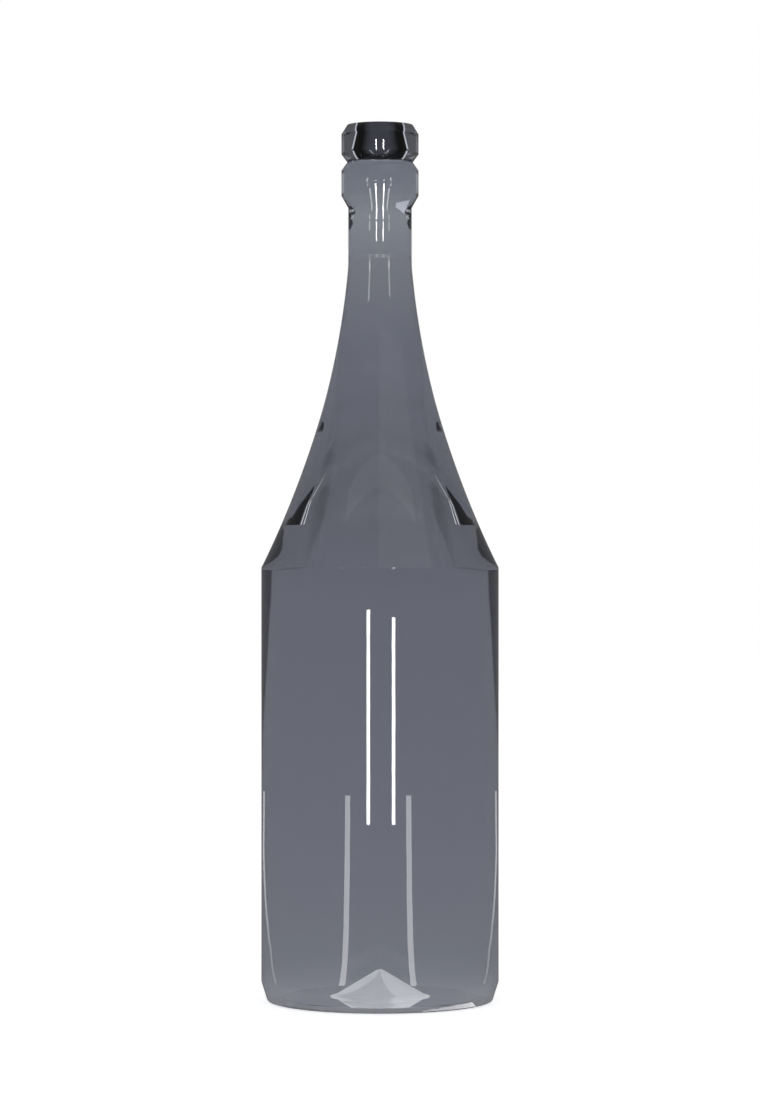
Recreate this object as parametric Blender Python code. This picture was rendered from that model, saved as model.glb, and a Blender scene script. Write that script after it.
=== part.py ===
"""A one litre glass bottle with a glass stopper and a soft seal ring.

The units are metres and +Z is up. The origin is the middle of the foot, on the surface that the bottle
stands on, and every piece is turned about the Z axis. A point of an outline is a pair: its distance from
the axis and its height.
"""

from math import acos, asin, atan2, ceil, cos, hypot, pi, radians, sin, tan

import bmesh
import bpy

# The body, from the foot up
BODY_DIAMETER = 0.0880
BODY_WALL = 0.0030
BODY_STRAIGHT_HEIGHT = 0.1532
HEEL_HEIGHT = 0.0072
HEEL_INSET = 0.0023
SHOULDER_HEIGHT = 0.1119
SHOULDER_TOP_ANGLE = radians(5.0)
SHOULDER_EDGE_RADIUS = 0.0014
HEEL_EDGE_RADIUS = 0.0015
FLOOR_CORNER_RADIUS = 0.0060

# The foot and the kick-up in the middle of the base
FOOT_EDGE_RADIUS = 0.0010
FOOT_RING_WIDTH = 0.0040
FOOT_RING_DEPTH = 0.0014
FOOT_RING_BEVEL = 0.0016
BASE_THICKNESS = 0.0042
PUNT_DIAMETER = 0.0350
PUNT_HEIGHT = 0.0105
PUNT_TIP_RADIUS = 0.0030
PUNT_ROOT_RADIUS = 0.0030

# The neck and the collar under the mouth
BORE_DIAMETER = 0.0182
NECK_WALL = 0.00265
NECK_STRAIGHT_HEIGHT = 0.0215
NECK_BLEND_RADIUS = 0.0600
NECK_ROOT_RADIUS = 0.0010
COLLAR_LOWER_SLOPE_HEIGHT = 0.0045
COLLAR_BAND_HEIGHT = 0.0093
COLLAR_UPPER_SLOPE_HEIGHT = 0.0030
COLLAR_RIM_WIDTH = 0.00205
COLLAR_EDGE_RADIUS = 0.0006
LIP_LAND_WIDTH = 0.0010
LIP_EDGE_RADIUS = 0.0003
MOUTH_SEAT_WIDTH = 0.00215

# The stopper: a head as wide as the collar, and a shank that hangs in the bore
HEAD_LOWER_SLOPE_HEIGHT = 0.0028
HEAD_BAND_HEIGHT = 0.0074
HEAD_UPPER_SLOPE_HEIGHT = 0.0034
HEAD_TOP_INSET = 0.0021
HEAD_EDGE_RADIUS = 0.0006
HEAD_TOP_EDGE_RADIUS = 0.0009
SHANK_LENGTH = 0.0100
SHANK_DRAFT = 0.0003
SHANK_TIP_RADIUS = 0.0012
SHANK_CLEARANCE = 0.0004

# The seal ring, held in a groove under the head
SEAL_HEIGHT = 0.0014
SEAL_GROOVE_DEPTH = 0.0006
SEAL_EDGE_RADIUS = 0.0002

# Fits, and how finely the round surfaces are cut
SEAT_GAP = 0.0003
SEGMENTS = 56
ROUNDING_STEP = radians(45.0)
SHOULDER_STEPS = 12
DOME_STEPS = 3
MERGE_DISTANCE = 0.000001
SHARP_ANGLE = radians(20.0)
STRAIGHT_TURN = radians(0.2)

# Radii that follow from the sizes above
BODY_RADIUS = BODY_DIAMETER / 2
BODY_INNER_RADIUS = BODY_RADIUS - BODY_WALL
FOOT_RADIUS = BODY_RADIUS - HEEL_INSET
BORE_RADIUS = BORE_DIAMETER / 2
NECK_RADIUS = BORE_RADIUS + NECK_WALL
MOUTH_RADIUS = BORE_RADIUS + MOUTH_SEAT_WIDTH
LIP_RADIUS = MOUTH_RADIUS + LIP_LAND_WIDTH
COLLAR_RADIUS = LIP_RADIUS + COLLAR_RIM_WIDTH
SHANK_RADIUS = BORE_RADIUS - SHANK_CLEARANCE
GROOVE_RADIUS = SHANK_RADIUS - SEAL_GROOVE_DEPTH

# Heights above the foot
SHOULDER_BASE_Z = HEEL_HEIGHT + BODY_STRAIGHT_HEIGHT
NECK_BASE_Z = SHOULDER_BASE_Z + SHOULDER_HEIGHT
NECK_TOP_Z = NECK_BASE_Z + NECK_STRAIGHT_HEIGHT
COLLAR_LOWER_Z = NECK_TOP_Z + COLLAR_LOWER_SLOPE_HEIGHT
COLLAR_UPPER_Z = COLLAR_LOWER_Z + COLLAR_BAND_HEIGHT
LIP_Z = COLLAR_UPPER_Z + COLLAR_UPPER_SLOPE_HEIGHT
STOPPER_SEAT_Z = LIP_Z + SEAT_GAP
FLOOR_Z = FOOT_RING_DEPTH + BASE_THICKNESS


def clear_scene():
    """Remove the objects that the scene starts with."""
    for old in list(bpy.data.objects):
        bpy.data.objects.remove(old, do_unlink=True)


def plain_material(name, color, roughness, transmission):
    """A material with one colour, for glass or for a soft polymer."""
    material = bpy.data.materials.new(name)
    material.use_nodes = True
    shader = material.node_tree.nodes["Principled BSDF"]
    shader.inputs["Base Color"].default_value = (*color, 1.0)
    shader.inputs["Roughness"].default_value = roughness
    shader.inputs["Metallic"].default_value = 0.0
    shader.inputs["Transmission Weight"].default_value = transmission
    material.diffuse_color = (*color, 1.0)
    return material


def smoked_glass():
    """The grey glass of the bottle."""
    return plain_material("smoked_glass", (0.42, 0.43, 0.47), 0.02, 1.0)


def dark_glass():
    """The darker glass of the stopper."""
    return plain_material("dark_glass", (0.10, 0.10, 0.12), 0.02, 1.0)


def seal_polymer():
    """The soft, dark polymer of the seal ring."""
    return plain_material("seal_polymer", (0.05, 0.052, 0.06), 0.45, 0.0)


def rounded_corner(before, corner, after, radius):
    """The points of an arc of the given radius that replaces one corner of an outline."""
    to_before = (before[0] - corner[0], before[1] - corner[1])
    to_after = (after[0] - corner[0], after[1] - corner[1])
    length_before = hypot(*to_before)
    length_after = hypot(*to_after)
    cosine = (to_before[0] * to_after[0] + to_before[1] * to_after[1]) / (length_before * length_after)
    opening = acos(max(-1.0, min(1.0, cosine)))
    turn = pi - opening
    if radius == 0 or turn < STRAIGHT_TURN:
        return [corner]
    room = min(length_before, length_after) / 2
    reach = min(radius / tan(opening / 2), room)
    radius = reach * tan(opening / 2)
    start = (corner[0] + to_before[0] / length_before * reach, corner[1] + to_before[1] / length_before * reach)
    side = to_before[0] * to_after[1] - to_before[1] * to_after[0]
    sign = 1 if side > 0 else -1
    across = (-to_before[1] / length_before * sign, to_before[0] / length_before * sign)
    centre = (start[0] + across[0] * radius, start[1] + across[1] * radius)
    first = atan2(start[1] - centre[1], start[0] - centre[0])
    steps = ceil(turn / ROUNDING_STEP)
    angles = [first - sign * turn * step / steps for step in range(steps + 1)]
    return [(centre[0] + radius * cos(angle), centre[1] + radius * sin(angle)) for angle in angles]


def rounded_outline(corners, closed=False):
    """An outline from (point, edge radius) corners. The ends of an open outline stay sharp."""
    outline = []
    count = len(corners)
    for index, (corner, radius) in enumerate(corners):
        if not closed and index in (0, count - 1):
            outline.append(corner)
            continue
        before = corners[index - 1][0]
        after = corners[(index + 1) % count][0]
        outline.extend(rounded_corner(before, corner, after, radius))
    return outline


def shoulder_arc(top_radius, bottom_radius, bottom_z):
    """The hollow curve of the shoulder between its two ends, from the top down, and its angle at the bottom.

    It is one arc about a centre outside the bottle, and it leaves the neck at SHOULDER_TOP_ANGLE.
    """
    drop = NECK_BASE_Z - bottom_z
    spread = bottom_radius - top_radius
    inward = (cos(SHOULDER_TOP_ANGLE), sin(SHOULDER_TOP_ANGLE))
    arc_radius = (drop**2 + spread**2) / (2 * (spread * inward[0] - drop * inward[1]))
    centre_r = top_radius + arc_radius * inward[0]
    centre_z = NECK_BASE_Z + arc_radius * inward[1]
    bottom_angle = asin((centre_z - bottom_z) / arc_radius)
    points = []
    for step in range(1, SHOULDER_STEPS):
        angle = SHOULDER_TOP_ANGLE + (bottom_angle - SHOULDER_TOP_ANGLE) * step / SHOULDER_STEPS
        points.append((centre_r - arc_radius * cos(angle), centre_z - arc_radius * sin(angle)))
    return points, bottom_angle


def punt_dome(root_z, lift):
    """The rounded tip of the kick-up's cone, from the axis outwards, and the radius of the cone's root.

    lift is how far this face of the glass lies above the underside, square to the cone.
    """
    slope = atan2(PUNT_HEIGHT, PUNT_DIAMETER / 2)
    tip_radius = PUNT_TIP_RADIUS + lift
    apex_z = FOOT_RING_DEPTH + PUNT_HEIGHT + lift / cos(slope)
    centre_z = apex_z - tip_radius / cos(slope)
    angles = [slope * step / DOME_STEPS for step in range(DOME_STEPS + 1)]
    points = [(tip_radius * sin(angle), centre_z + tip_radius * cos(angle)) for angle in angles]
    return points, (apex_z - root_z) / tan(slope)


def inside_corners():
    """The inside of the bottle: over the kick-up, out across the floor, and up the wall to the mouth."""
    dome, punt_root = punt_dome(FLOOR_Z, BASE_THICKNESS)
    _, outer_angle = shoulder_arc(NECK_RADIUS, BODY_RADIUS, SHOULDER_BASE_Z)
    shoulder_z = SHOULDER_BASE_Z - BODY_WALL * tan(outer_angle / 2)
    arc, _ = shoulder_arc(BORE_RADIUS, BODY_INNER_RADIUS, shoulder_z)
    corners = [(point, 0) for point in dome]
    corners.append(((punt_root, FLOOR_Z), PUNT_ROOT_RADIUS))
    corners.append(((BODY_INNER_RADIUS, FLOOR_Z), FLOOR_CORNER_RADIUS))
    corners.append(((BODY_INNER_RADIUS, shoulder_z), SHOULDER_EDGE_RADIUS))
    corners.extend((point, 0) for point in reversed(arc))
    corners.append(((BORE_RADIUS, NECK_BASE_Z), NECK_BLEND_RADIUS))
    corners.append(((BORE_RADIUS, LIP_Z - MOUTH_SEAT_WIDTH), 0))
    corners.append(((MOUTH_RADIUS, LIP_Z), LIP_EDGE_RADIUS))
    return corners


def outside_corners():
    """The outside of the bottle: over the lip, down the collar, the neck and the body to the foot."""
    arc, _ = shoulder_arc(NECK_RADIUS, BODY_RADIUS, SHOULDER_BASE_Z)
    corners = [
        ((LIP_RADIUS, LIP_Z), LIP_EDGE_RADIUS),
        ((COLLAR_RADIUS, COLLAR_UPPER_Z), COLLAR_EDGE_RADIUS),
        ((COLLAR_RADIUS, COLLAR_LOWER_Z), COLLAR_EDGE_RADIUS),
        ((NECK_RADIUS, NECK_TOP_Z), NECK_ROOT_RADIUS),
        ((NECK_RADIUS, NECK_BASE_Z), NECK_BLEND_RADIUS),
    ]
    corners.extend((point, 0) for point in arc)
    corners.append(((BODY_RADIUS, SHOULDER_BASE_Z), SHOULDER_EDGE_RADIUS))
    corners.append(((BODY_RADIUS, HEEL_HEIGHT), HEEL_EDGE_RADIUS))
    return corners


def underside_corners():
    """The foot ring, the recess inside it and the kick-up, in to the axis."""
    dome, punt_root = punt_dome(FOOT_RING_DEPTH, 0)
    ring_inner_radius = FOOT_RADIUS - FOOT_RING_WIDTH
    corners = [
        ((FOOT_RADIUS, 0), FOOT_EDGE_RADIUS),
        ((ring_inner_radius, 0), 0),
        ((ring_inner_radius - FOOT_RING_BEVEL, FOOT_RING_DEPTH), FOOT_EDGE_RADIUS),
        ((punt_root, FOOT_RING_DEPTH), PUNT_ROOT_RADIUS),
    ]
    corners.extend((point, 0) for point in reversed(dome))
    return corners


def bottle_outline():
    """The whole section of the bottle, from the axis inside to the axis underneath."""
    return rounded_outline(inside_corners() + outside_corners() + underside_corners())


def groove_height():
    """The height of the groove that holds the seal ring, with a gap above and below the ring."""
    return SEAL_HEIGHT + SEAT_GAP * 2


def stopper_outline():
    """The section of the stopper, from the middle of its top to the middle of its shank's end.

    Height zero is the underside of the head.
    """
    head_upper_z = HEAD_LOWER_SLOPE_HEIGHT + HEAD_BAND_HEIGHT
    head_top_z = head_upper_z + HEAD_UPPER_SLOPE_HEIGHT
    return rounded_outline(
        [
            ((0, head_top_z), 0),
            ((COLLAR_RADIUS - HEAD_TOP_INSET, head_top_z), HEAD_TOP_EDGE_RADIUS),
            ((COLLAR_RADIUS, head_upper_z), HEAD_EDGE_RADIUS),
            ((COLLAR_RADIUS, HEAD_LOWER_SLOPE_HEIGHT), HEAD_EDGE_RADIUS),
            ((LIP_RADIUS, 0), LIP_EDGE_RADIUS),
            ((GROOVE_RADIUS, 0), 0),
            ((GROOVE_RADIUS, -groove_height()), 0),
            ((SHANK_RADIUS, -groove_height()), 0),
            ((SHANK_RADIUS - SHANK_DRAFT, -SHANK_LENGTH), SHANK_TIP_RADIUS),
            ((0, -SHANK_LENGTH), 0),
        ]
    )


def seal_outline():
    """The section of the seal ring: flat above and below, and sloped outside like the mouth's seat.

    Height zero is the underside of the stopper's head.
    """
    top_z = -SEAT_GAP
    slope_gap = SEAT_GAP / sin(pi / 4)
    top_radius = MOUTH_RADIUS - slope_gap
    inner_radius = GROOVE_RADIUS + SEAT_GAP
    return rounded_outline(
        [
            ((inner_radius, top_z), SEAL_EDGE_RADIUS),
            ((top_radius, top_z), SEAL_EDGE_RADIUS),
            ((top_radius - SEAL_HEIGHT, top_z - SEAL_HEIGHT), SEAL_EDGE_RADIUS),
            ((inner_radius, top_z - SEAL_HEIGHT), SEAL_EDGE_RADIUS),
        ],
        closed=True,
    )


def turned_piece(name, outline, height, material, closed=False):
    """Turn an outline about the Z axis into a closed solid whose origin lies on the axis at this height."""
    shape = bmesh.new()
    points = [shape.verts.new((radius, 0, z)) for radius, z in outline]
    edges = [shape.edges.new(pair) for pair in zip(points, points[1:])]
    if closed:
        edges.append(shape.edges.new((points[-1], points[0])))
    bmesh.ops.spin(
        shape,
        geom=points + edges,
        cent=(0, 0, 0),
        axis=(0, 0, 1),
        angle=2 * pi,
        steps=SEGMENTS,
        use_merge=True,
    )
    bmesh.ops.remove_doubles(shape, verts=shape.verts, dist=MERGE_DISTANCE)
    bmesh.ops.recalc_face_normals(shape, faces=shape.faces)
    mesh = bpy.data.meshes.new(name)
    shape.to_mesh(mesh)
    shape.free()
    mesh.shade_smooth()
    mesh.set_sharp_from_angle(angle=SHARP_ANGLE)
    mesh.materials.append(material)
    piece = bpy.data.objects.new(name, mesh)
    piece.location = (0, 0, height)
    bpy.context.scene.collection.objects.link(piece)
    return piece


def main():
    """Model the bottle, the stopper in its mouth and the seal ring between them."""
    clear_scene()
    turned_piece("bottle", bottle_outline(), 0, smoked_glass())
    turned_piece("stopper", stopper_outline(), STOPPER_SEAT_Z, dark_glass())
    turned_piece("seal_ring", seal_outline(), STOPPER_SEAT_Z, seal_polymer(), closed=True)


main()
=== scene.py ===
"""The looks of a stoppered glass bottle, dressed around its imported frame.

The units are metres, +Z is up, and every piece is turned about the Z axis. The origin is the middle of the
foot. A section is the outline of one turned piece: pairs of a distance from the axis and a height, which
run up the outside and down the inside, so that the faces point out of the glass.
"""

import logging
from dataclasses import dataclass, field
from enum import Enum
from math import asin, atan2, ceil, cos, hypot, pi, radians, sin, tan
from typing import Any, Sequence

import bmesh
import bpy
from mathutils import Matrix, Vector


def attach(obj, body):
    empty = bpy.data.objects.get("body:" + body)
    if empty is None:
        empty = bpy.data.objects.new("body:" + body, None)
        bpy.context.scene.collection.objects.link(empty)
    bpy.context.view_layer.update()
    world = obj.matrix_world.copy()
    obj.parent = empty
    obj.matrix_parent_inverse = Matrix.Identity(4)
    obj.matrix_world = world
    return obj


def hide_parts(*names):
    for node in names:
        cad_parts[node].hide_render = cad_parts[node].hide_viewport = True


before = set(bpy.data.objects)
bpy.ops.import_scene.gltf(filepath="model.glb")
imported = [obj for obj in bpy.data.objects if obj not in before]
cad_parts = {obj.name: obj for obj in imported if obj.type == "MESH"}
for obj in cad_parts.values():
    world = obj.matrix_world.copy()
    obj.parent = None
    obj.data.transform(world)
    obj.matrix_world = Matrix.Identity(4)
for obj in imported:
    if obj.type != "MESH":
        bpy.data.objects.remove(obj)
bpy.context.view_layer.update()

LOG = logging.getLogger("glass_bottle")

Point = tuple[float, float]
Triple = tuple[float, float, float]

MILLIMETRE = 0.001
MILLILITRES = 1e6

# How finely the sections are drawn and turned
ROUNDING_STEP = radians(9.0)
STRAIGHT_TURN = radians(0.2)
CORNER_ROOM = 0.45
CURVE_STEPS = 44
DOME_STEPS = 10
SUPPORT_DISTANCE = 0.12 * MILLIMETRE
SHORTEST_STRAIGHT = SUPPORT_DISTANCE * 4
STRAIGHT_STEP = 7.0 * MILLIMETRE
TURNS = 288
MERGE_DISTANCE = 0.001 * MILLIMETRE
ZONE_TOLERANCE = 0.1

# The photograph's frame, and where its camera stands
PHOTO_WIDTH = 760
PHOTO_HEIGHT = 1120
PHOTO_AXIS_X = 380.0
PHOTO_FOOT_Y = 1000.0
PHOTO_HORIZON_Y = 560.0
PHOTO_BODY_HALF_WIDTH = 118.6
PHOTO_DISTANCE = 3650.0
SENSOR_WIDTH = 36.0

# What the finishes share
BLACK = (0.0, 0.0, 0.0)
WHITE = (1.0, 1.0, 1.0)
# The colours of the painted shade and the painted highlights that the edge zones mix into the glass
PAINTED_SHADE_COLOUR = (0.003, 0.0033, 0.006)
PAINTED_HIGHLIGHT_COLOUR = (0.60, 0.61, 0.63)
GLASS_BENDING = 1.5
NO_BENDING = 1.0
PLAIN_SPECULAR = 0.5
PLAIN_BLEND = 0.5


class Zone(Enum):
    """The stretches of a section that take a finish of their own."""

    OUTSIDE = 0
    INSIDE = 1
    UNDERSIDE = 2
    KICK_UP = 3


@dataclass(frozen=True)
class Corner:
    """A corner of a section.

    Args:
        radius: Distance from the axis.
        height: Height above the section's zero.
        rounding: Radius of the arc that rounds the corner.
        zone: The finish of the stretch that starts here.
        on_curve: True for a point along a curve, which keeps its spacing.
        soft: True for a corner that the glass's gloss runs round without a break.
    """

    radius: float
    height: float
    rounding: float = 0.0
    zone: Zone = Zone.OUTSIDE
    on_curve: bool = False
    soft: bool = False

    def at(self) -> Point:
        """The corner's place."""
        return (self.radius, self.height)


@dataclass
class Section:
    """The outline of a turned piece, built up corner by corner."""

    corners: list[Corner] = field(default_factory=list)
    closed: bool = False
    zone: Zone = Zone.OUTSIDE

    def corner(self, radius: float, height: float, rounding: float = 0.0) -> None:
        """Add a corner with the section's present zone."""
        self.corners.append(Corner(radius, height, rounding, self.zone))

    def soft_corner(self, radius: float, height: float) -> None:
        """Add a fire-polished corner, whose gloss runs on from one side to the other."""
        self.corners.append(Corner(radius, height, zone=self.zone, soft=True))

    def curve(self, points: Sequence[Point]) -> None:
        """Add the points of a curve, which keep their own spacing."""
        self.corners.extend(Corner(r, z, zone=self.zone, on_curve=True) for r, z in points)

    def points(self) -> list[tuple[float, float, int]]:
        """The finished outline.

        Returns:
            One (radius, height, zone number) for each point, with rounded corners, and with points close
            to both ends of each straight stretch, so that smooth shading leaves it flat.
        """
        count = len(self.corners)
        arcs = [self._arc(index) for index in range(count)]
        outline: list[tuple[float, float, int]] = []
        for index, corner in enumerate(self.corners):
            following = (index + 1) % count
            after = self.corners[following]
            stretch = list(arcs[index])
            ends_here = index == count - 1 and not self.closed
            if not ends_here and not (corner.on_curve and after.on_curve):
                supports = self._supports(stretch[-1], arcs[following][0])
                stretch += supports[int(corner.soft):len(supports) - int(after.soft)]
            outline.extend((r, z, corner.zone.value) for r, z in stretch)
        return outline + outline[:1] if self.closed else outline

    def _arc(self, index: int) -> list[Point]:
        """The points that round one corner, or the corner itself where it stays sharp."""
        corner = self.corners[index]
        ends = (0, len(self.corners) - 1)
        if corner.rounding == 0 or (not self.closed and index in ends):
            return [corner.at()]
        after = self.corners[(index + 1) % len(self.corners)]
        return rounded_corner(self.corners[index - 1].at(), corner.at(), after.at(), corner.rounding)

    @staticmethod
    def _supports(start: Point, end: Point) -> list[Point]:
        """Points along a straight stretch, close to its ends and evenly between them."""
        length = hypot(end[0] - start[0], end[1] - start[1])
        if length < SHORTEST_STRAIGHT:
            return []
        inner = int(length / STRAIGHT_STEP)
        shares = [SUPPORT_DISTANCE / length]
        shares += [step / (inner + 1) for step in range(1, inner + 1)]
        shares.append(1 - SUPPORT_DISTANCE / length)
        return [(start[0] + (end[0] - start[0]) * t, start[1] + (end[1] - start[1]) * t) for t in shares]


def rounded_corner(before: Point, corner: Point, after: Point, radius: float) -> list[Point]:
    """Round one corner of a section.

    Args:
        before: The corner before it.
        corner: The corner to round.
        after: The corner after it.
        radius: The arc's radius, which shrinks where the neighbours are too close.

    Returns:
        The points of the arc, in the section's direction.
    """
    to_before = Vector(before) - Vector(corner)
    to_after = Vector(after) - Vector(corner)
    opening = to_before.angle(to_after)
    turn = pi - opening
    if turn < STRAIGHT_TURN:
        return [corner]
    room = min(to_before.length, to_after.length) * CORNER_ROOM
    reach = min(radius / tan(opening / 2), room)
    radius = reach * tan(opening / 2)
    start = Vector(corner) + to_before.normalized() * reach
    side = 1 if to_before.x * to_after.y - to_before.y * to_after.x > 0 else -1
    across = Vector((-to_before.y, to_before.x)).normalized() * side
    centre = start + across * radius
    first = atan2(start.y - centre.y, start.x - centre.x)
    steps = ceil(turn / ROUNDING_STEP)
    angles = [first - side * turn * step / steps for step in range(steps + 1)]
    return [(centre.x + radius * cos(angle), centre.y + radius * sin(angle)) for angle in angles]


class Wire:
    """An output socket that can stand in an expression, which adds Math nodes to its tree."""

    def __init__(self, writer: "TreeWriter", socket: bpy.types.NodeSocket) -> None:
        """Wrap one output socket of a tree."""
        self.writer = writer
        self.socket = socket

    def __add__(self, other: Any) -> "Wire":
        """self + other."""
        return self.writer.math("ADD", self, other)

    def __sub__(self, other: Any) -> "Wire":
        """self - other."""
        return self.writer.math("SUBTRACT", self, other)

    def __rsub__(self, other: Any) -> "Wire":
        """other - self."""
        return self.writer.math("SUBTRACT", other, self)

    def __mul__(self, other: Any) -> "Wire":
        """self * other."""
        return self.writer.math("MULTIPLY", self, other)

    def __truediv__(self, other: Any) -> "Wire":
        """self / other."""
        return self.writer.math("DIVIDE", self, other)

    def __abs__(self) -> "Wire":
        """The size of self without its sign."""
        return self.writer.math("ABSOLUTE", self)


class Placed:
    """A node that stands in a tree, read by the name or number of an output."""

    def __init__(self, writer: "TreeWriter", node: bpy.types.Node) -> None:
        """Keep the node and the writer of its tree."""
        self.writer = writer
        self.node = node

    def __getitem__(self, output: str | int) -> Wire:
        """One output as a wire."""
        return Wire(self.writer, self.node.outputs[output])


class TreeWriter:
    """Writes a shader or geometry node tree as plain expressions."""

    def __init__(self, tree: bpy.types.NodeTree) -> None:
        """Write into this tree."""
        self.tree = tree

    def node(self, kind: str, settings: dict[str, Any] | None = None,
             inputs: dict[str | int, Any] | None = None) -> Placed:
        """Add a node.

        Args:
            kind: The node's type name.
            settings: The node's properties, set first. "stops" holds a colour ramp's (place, colour) pairs.
            inputs: Values or wires for its sockets, by name or number.

        Returns:
            The node, to be read by output.
        """
        made = self.tree.nodes.new(kind)
        for name, value in (settings or {}).items():
            if name == "stops":
                self._set_stops(made.color_ramp, value)
            else:
                setattr(made, name, value)
        for name, value in (inputs or {}).items():
            self.feed(made.inputs[name], value)
        return Placed(self, made)

    def feed(self, socket: bpy.types.NodeSocket, value: Any) -> None:
        """Link a wire to a socket, or set the socket's own value."""
        if isinstance(value, Wire):
            self.tree.links.new(value.socket, socket)
        elif isinstance(value, tuple) and len(value) == 3 and socket.type == "RGBA":
            socket.default_value = (*value, 1.0)
        else:
            socket.default_value = value

    def math(self, operation: str, first: Any, second: Any = 0.0) -> Wire:
        """Add a Math node on one or two numbers or wires."""
        return self.node("ShaderNodeMath", {"operation": operation}, {0: first, 1: second})[0]

    def split(self, vector: Wire) -> Placed:
        """The three parts of a vector."""
        return self.node("ShaderNodeSeparateXYZ", {}, {0: vector})

    def rise(self, value: Wire, low: float, high: float, start: float = 0.0, end: float = 1.0) -> Wire:
        """A soft step.

        Args:
            value: The number that is read.
            low: Where the step starts.
            high: Where it ends.
            start: The result below the step.
            end: The result above it.

        Returns:
            The stepped number.
        """
        sockets = {"Value": value, "From Min": low, "From Max": high, "To Min": start, "To Max": end}
        return self.node("ShaderNodeMapRange", {"interpolation_type": "SMOOTHSTEP"}, sockets)[0]

    def fall(self, value: Wire, low: float, high: float) -> Wire:
        """A soft step down, from 1 below it to 0 above it."""
        return self.rise(value, low, high, 1.0, 0.0)

    def mix_colours(self, share: Any, first: Any, second: Any) -> Wire:
        """Mix two colours by a share, which may be a wire."""
        return self.node("ShaderNodeMix", {"data_type": "RGBA"}, {0: share, 6: first, 7: second})[2]

    @staticmethod
    def _set_stops(ramp: bpy.types.ColorRamp, stops: Sequence[tuple[float, Triple]]) -> None:
        """Give a colour ramp its stops."""
        ramp.interpolation = "LINEAR"
        while len(ramp.elements) < len(stops):
            ramp.elements.new(1.0)
        for element, (place, colour) in zip(ramp.elements, stops):
            element.position = place
            element.color = (*colour, 1.0)


@dataclass(frozen=True)
class Clouds:
    """The measures of a cloudy pattern.

    Args:
        scale: Clouds to the metre.
        detail: How much finer pattern it holds.
        squash: How much closer the clouds lie along the height, under 1 for upright streaks.
        distortion: How much the clouds are stirred.
    """

    scale: float
    detail: float = 2.0
    squash: float = 1.0
    distortion: float = 0.0


class FinishTree(TreeWriter):
    """The node tree of one material, with the patterns that several finishes share."""

    def __init__(self, name: str) -> None:
        """Start a material that holds a Principled shader."""
        self.material = bpy.data.materials.new(name)
        self.material.use_nodes = True
        super().__init__(self.material.node_tree)
        self.shader = self.tree.nodes["Principled BSDF"]
        self.place = self.node("ShaderNodeTexCoord")["Object"]

    def constants(self, **values: Any) -> None:
        """Set sockets of the shader to fixed values, by names with underscores for spaces."""
        for name, value in values.items():
            self.feed(self.shader.inputs[name.replace("_", " ")], value)

    def glass(self, bending: float = GLASS_BENDING, passing: float = 1.0) -> None:
        """Make the shader a glass of this index of refraction that lets this share of the light pass."""
        self.constants(Transmission_Weight=passing, IOR=bending, Specular_IOR_Level=PLAIN_SPECULAR)

    def varying(self, socket: str, value: Wire) -> None:
        """Feed a socket of the shader with something that changes over the surface."""
        self.feed(self.shader.inputs[socket], value)

    def height(self) -> Wire:
        """The height above the foot."""
        return self.split(self.place)[2]

    def facing(self) -> Wire:
        """How far the surface turns away, from 0 for face-on to 1 for edge-on."""
        return self.node("ShaderNodeLayerWeight", {}, {"Blend": PLAIN_BLEND})["Facing"]

    def noise(self, clouds: Clouds) -> Wire:
        """A cloudy pattern from 0 to 1."""
        squash = (1.0, 1.0, clouds.squash)
        stretched = self.node("ShaderNodeMapping", {}, {"Vector": self.place, "Scale": squash})[0]
        return self.node("ShaderNodeTexNoise", {}, {
            "Vector": stretched,
            "Scale": clouds.scale,
            "Detail": clouds.detail,
            "Distortion": clouds.distortion,
        })["Fac"]

    def surface(self, share: Wire, second: Wire) -> None:
        """Let the material show another shader by a share, and its own for the rest."""
        own = Wire(self, self.shader.outputs[0])
        mixed = self.node("ShaderNodeMixShader", {}, {0: share, 1: own, 2: second})[0]
        self.feed(self.tree.nodes["Material Output"].inputs["Surface"], mixed)

    def blend_through(self, share: Wire, tint: Wire) -> None:
        """Mix the shader with one of the same tint that doesn't bend the light."""
        self.surface(share, self.node("ShaderNodeBsdfPrincipled", {}, {
            "Base Color": tint,
            "Transmission Weight": 1.0,
            "IOR": NO_BENDING,
            "Roughness": 0.0,
            "Coat Weight": 1.0,
            "Coat IOR": GLASS_BENDING,
            "Coat Roughness": 0.0,
        })[0])

    def relief(self, height: Wire, distance: float) -> None:
        """Let a height pattern bend the surface's normals, at this depth in metres."""
        bump = self.node("ShaderNodeBump", {}, {"Height": height, "Distance": distance, "Strength": 1.0})
        self.varying("Normal", bump["Normal"])


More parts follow.
